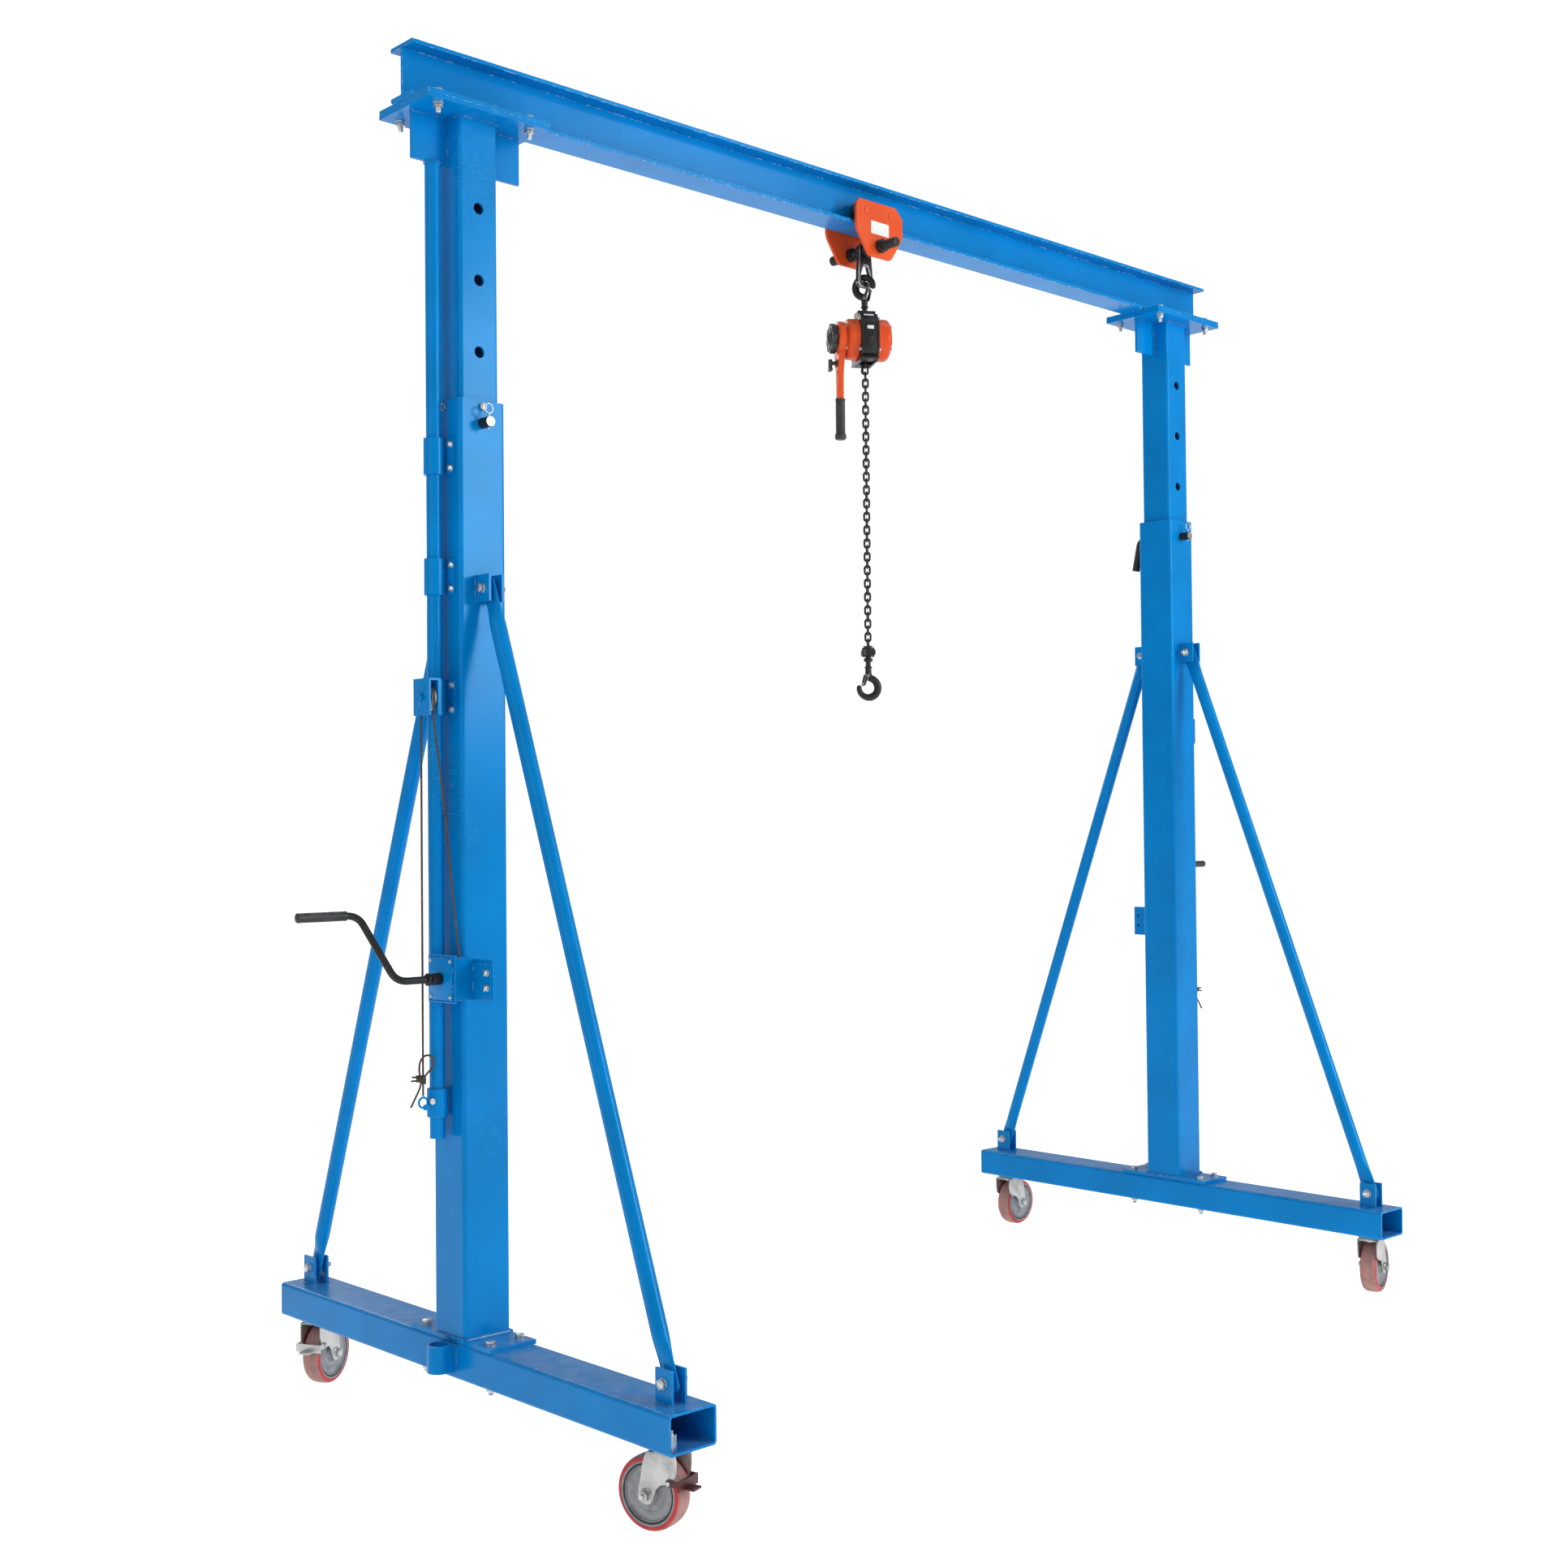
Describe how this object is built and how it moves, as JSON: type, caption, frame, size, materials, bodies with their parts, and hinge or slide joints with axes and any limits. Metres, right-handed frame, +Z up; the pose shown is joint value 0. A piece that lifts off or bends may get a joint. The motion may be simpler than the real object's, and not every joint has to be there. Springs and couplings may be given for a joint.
{
  "type": "portable gantry crane",
  "caption": "Wheeled A-frame gantry with telescoping legs, hand winches, an I-beam track, a push trolley and a hanging lever chain hoist.",
  "frame": {"origin": "on the floor, midway between the two legs and under the I-beam", "axes": "+Z up, X along the I-beam, Y along the base beams"},
  "size_m": [3.414, 1.501, 3.086],
  "materials": {
    "blue_enamel": "glossy enamel",
    "orange_enamel": "glossy enamel",
    "zinc": "bright zinc plate",
    "black_steel": "black oxide and black paint",
    "wheel_iron": "machined, oiled",
    "black_plastic": "moulded",
    "red_polyurethane": "cast polyurethane on a grey iron core",
    "wire_rope": "greased steel wire"
  },
  "bodies": {
    "left_leg": {"left_base_beam": "blue_enamel", "left_column": "blue_enamel", "left_braces": "blue_enamel", "left_leg_fasteners": "zinc", "left_tube_guides": "blue_enamel", "left_winch_housing": "blue_enamel", "left_caster_stems": "zinc", "left_winch_rope": "wire_rope", "left_winch_rope_fall": "wire_rope"},
    "bridge": {"i_beam": "blue_enamel", "left_mast": "blue_enamel", "right_mast": "blue_enamel", "left_lift_tube": "blue_enamel", "right_lift_tube": "blue_enamel", "lift_collars": "blue_enamel", "beam_bolts": "zinc"},
    "right_leg": {"right_base_beam": "blue_enamel", "right_column": "blue_enamel", "right_braces": "blue_enamel", "right_leg_fasteners": "zinc", "right_tube_guides": "blue_enamel", "right_winch_housing": "blue_enamel", "right_caster_stems": "zinc", "right_winch_rope": "wire_rope", "right_winch_rope_fall": "wire_rope"},
    "left_winch": {"left_winch_crank": "black_steel"},
    "left_pulley": {"left_rope_pulley": "zinc"},
    "left_pin": {"left_lock_pin": "black_steel"},
    "left_clip": {"left_pin_clip": "zinc"},
    "right_winch": {"right_winch_crank": "black_steel"},
    "right_pulley": {"right_rope_pulley": "zinc"},
    "right_pin": {"right_lock_pin": "black_steel"},
    "right_clip": {"right_pin_clip": "zinc"},
    "left_front_fork": {"left_front_caster_fork": "zinc"},
    "left_front_wheel": {"left_front_caster_wheel": "red_polyurethane"},
    "left_front_brake": {"left_front_brake_pedal": "zinc"},
    "left_rear_fork": {"left_rear_caster_fork": "zinc"},
    "left_rear_wheel": {"left_rear_caster_wheel": "red_polyurethane"},
    "left_rear_brake": {"left_rear_brake_pedal": "zinc"},
    "right_front_fork": {"right_front_caster_fork": "zinc"},
    "right_front_wheel": {"right_front_caster_wheel": "red_polyurethane"},
    "right_rear_fork": {"right_rear_caster_fork": "zinc"},
    "right_rear_wheel": {"right_rear_caster_wheel": "red_polyurethane"},
    "trolley": {"trolley_plates": "orange_enamel", "trolley_crossbar": "black_steel"},
    "axle_a": {"trolley_wheels_a": "wheel_iron"},
    "axle_b": {"trolley_wheels_b": "wheel_iron"},
    "hanger": {"trolley_hanger": "black_steel"},
    "top_hook": {"top_hook": "black_steel"},
    "top_latch": {"top_hook_latch": "black_steel"},
    "hoist": {"hoist_frame": "black_steel", "hoist_gear_cover": "orange_enamel", "hoist_brake_cover": "orange_enamel", "load_chain": "black_steel"},
    "lever": {"hoist_lever": "orange_enamel"},
    "selector": {"lever_selector": "black_plastic"},
    "handwheel": {"hoist_handwheel": "black_plastic"},
    "hook_block": {"load_hook_block": "black_steel"},
    "load_hook": {"load_hook": "black_steel"},
    "load_latch": {"load_hook_latch": "black_steel"}
  },
  "joints": [
    {"name": "left_lift", "type": "slide", "parent": "left_leg", "child": "bridge", "axis": [0, 0, 1], "range_m": [-0.48, 0.48], "deforming": ["left_winch_rope_fall"]},
    {"name": "right_lift", "type": "slide", "parent": "bridge", "child": "right_leg", "axis": [0, 0, -1], "range_m": [-0.48, 0.48], "deforming": ["right_winch_rope_fall"]},
    {"name": "left_winch_turn", "type": "hinge", "parent": "left_leg", "child": "left_winch", "pos_m": [-1.41, -0.07, 1.051], "axis": [1, 0, 0], "continuous": true},
    {"name": "left_pulley_turn", "type": "hinge", "parent": "left_leg", "child": "left_pulley", "pos_m": [-1.441, -0.028, 1.657], "axis": [1, 0, 0], "continuous": true},
    {"name": "left_pin_slide", "type": "slide", "parent": "left_leg", "child": "left_pin", "axis": [0, 1, 0], "range_m": [0, 0.016]},
    {"name": "left_clip_slide", "type": "slide", "parent": "left_pin", "child": "left_clip", "axis": [0, 0, 1], "range_m": [0, 0.055]},
    {"name": "right_winch_turn", "type": "hinge", "parent": "right_leg", "child": "right_winch", "pos_m": [1.41, 0.07, 1.051], "axis": [1, 0, 0], "continuous": true},
    {"name": "right_pulley_turn", "type": "hinge", "parent": "right_leg", "child": "right_pulley", "pos_m": [1.441, 0.028, 1.657], "axis": [1, 0, 0], "continuous": true},
    {"name": "right_pin_slide", "type": "slide", "parent": "right_leg", "child": "right_pin", "axis": [0, 1, 0], "range_m": [0, 0.02]},
    {"name": "right_clip_slide", "type": "slide", "parent": "right_pin", "child": "right_clip", "axis": [0, 0, 1], "range_m": [0, 0.055]},
    {"name": "left_front_swivel", "type": "hinge", "parent": "left_leg", "child": "left_front_fork", "pos_m": [-1.315, -0.68, 0.165], "axis": [0, 0, 1], "continuous": true},
    {"name": "left_front_roll", "type": "hinge", "parent": "left_front_fork", "child": "left_front_wheel", "pos_m": [-1.32586, -0.64358, 0.074], "axis": [-0.9583, -0.2857, 0], "continuous": true},
    {"name": "left_front_brake_press", "type": "hinge", "parent": "left_front_fork", "child": "left_front_brake", "pos_m": [-1.30986, -0.69725, 0.106], "axis": [0.9583, 0.2857, 0], "range_deg": [0, 8]},
    {"name": "left_rear_swivel", "type": "hinge", "parent": "left_leg", "child": "left_rear_fork", "pos_m": [-1.315, 0.68, 0.165], "axis": [0, 0, 1], "continuous": true},
    {"name": "left_rear_roll", "type": "hinge", "parent": "left_rear_fork", "child": "left_rear_wheel", "pos_m": [-1.28145, 0.69784, 0.074], "axis": [-0.4695, 0.8829, 0], "continuous": true},
    {"name": "left_rear_brake_press", "type": "hinge", "parent": "left_rear_fork", "child": "left_rear_brake", "pos_m": [-1.33089, 0.67155, 0.106], "axis": [0.4695, -0.8829, 0], "range_deg": [0, 8]},
    {"name": "right_front_swivel", "type": "hinge", "parent": "right_leg", "child": "right_front_fork", "pos_m": [1.315, -0.68, 0.165], "axis": [0, 0, 1], "continuous": true},
    {"name": "right_front_roll", "type": "hinge", "parent": "right_front_fork", "child": "right_front_wheel", "pos_m": [1.35187, -0.67081, 0.074], "axis": [-0.2419, 0.9703, 0], "continuous": true},
    {"name": "right_rear_swivel", "type": "hinge", "parent": "right_leg", "child": "right_rear_fork", "pos_m": [1.315, 0.68, 0.165], "axis": [0, 0, 1], "continuous": true},
    {"name": "right_rear_roll", "type": "hinge", "parent": "right_rear_fork", "child": "right_rear_wheel", "pos_m": [1.35295, 0.68199, 0.074], "axis": [-0.0523, 0.9986, 0], "continuous": true},
    {"name": "trolley_travel", "type": "slide", "parent": "bridge", "child": "trolley", "axis": [1, 0, 0], "range_m": [-1.015, 1.1]},
    {"name": "wheels_a_roll", "type": "hinge", "parent": "trolley", "child": "axle_a", "pos_m": [-0.088, 0, 3.0033], "axis": [0, 1, 0], "continuous": true},
    {"name": "wheels_b_roll", "type": "hinge", "parent": "trolley", "child": "axle_b", "pos_m": [0.004, 0, 3.0033], "axis": [0, 1, 0], "continuous": true},
    {"name": "hanger_swing", "type": "hinge", "parent": "trolley", "child": "hanger", "pos_m": [-0.042, 0, 2.915], "axis": [0, 1, 0], "range_deg": [-25, 25]},
    {"name": "top_hook_swing", "type": "hinge", "parent": "hanger", "child": "top_hook", "pos_m": [-0.042, 0, 2.8178], "axis": [0.9397, 0.342, 0], "range_deg": [-15, 15]},
    {"name": "top_latch_open", "type": "hinge", "parent": "top_hook", "child": "top_latch", "pos_m": [-0.04063, -0.00376, 2.7868], "axis": [-0.9397, -0.342, 0], "range_deg": [0, 40], "stiffness_Nm_per_rad": 0.08, "springref_deg": -17.19},
    {"name": "hoist_swivel", "type": "hinge", "parent": "top_hook", "child": "hoist", "pos_m": [-0.042, 0, 2.75], "axis": [0, 0, 1], "continuous": true},
    {"name": "lever_turn", "type": "hinge", "parent": "hoist", "child": "lever", "pos_m": [-0.102, 0.03605, 2.675], "axis": [0.8572, -0.515, 0], "range_deg": [-120, 120]},
    {"name": "selector_switch", "type": "hinge", "parent": "lever", "child": "selector", "pos_m": [-0.11915, 0.04635, 2.609], "axis": [0.8572, -0.515, 0], "range_deg": [-20, 20]},
    {"name": "handwheel_turn", "type": "hinge", "parent": "hoist", "child": "handwheel", "pos_m": [-0.11915, 0.04635, 2.675], "axis": [0.8572, -0.515, 0], "continuous": true},
    {"name": "hook_travel", "type": "slide", "parent": "hoist", "child": "hook_block", "axis": [0, 0, 1], "range_m": [0, 0.72], "deforming": ["load_chain"]},
    {"name": "hook_swivel", "type": "hinge", "parent": "hook_block", "child": "load_hook", "pos_m": [-0.042, 0, 1.83], "axis": [0, 0, 1], "continuous": true},
    {"name": "load_latch_open", "type": "hinge", "parent": "load_hook", "child": "load_latch", "pos_m": [-0.04546, 0.002, 1.769], "axis": [-0.5, -0.866, 0], "range_deg": [0, 40], "stiffness_Nm_per_rad": 0.08, "springref_deg": -17.19}
  ],
  "couplings": [
    {"joint": "left_pulley_turn", "follows": "left_winch_turn", "ratio": 1.4},
    {"joint": "right_pulley_turn", "follows": "right_winch_turn", "ratio": 1.4},
    {"joint": "wheels_a_roll", "follows": "trolley_travel", "rad_per_m": 35.714},
    {"joint": "wheels_b_roll", "follows": "trolley_travel", "rad_per_m": 35.714}
  ]
}
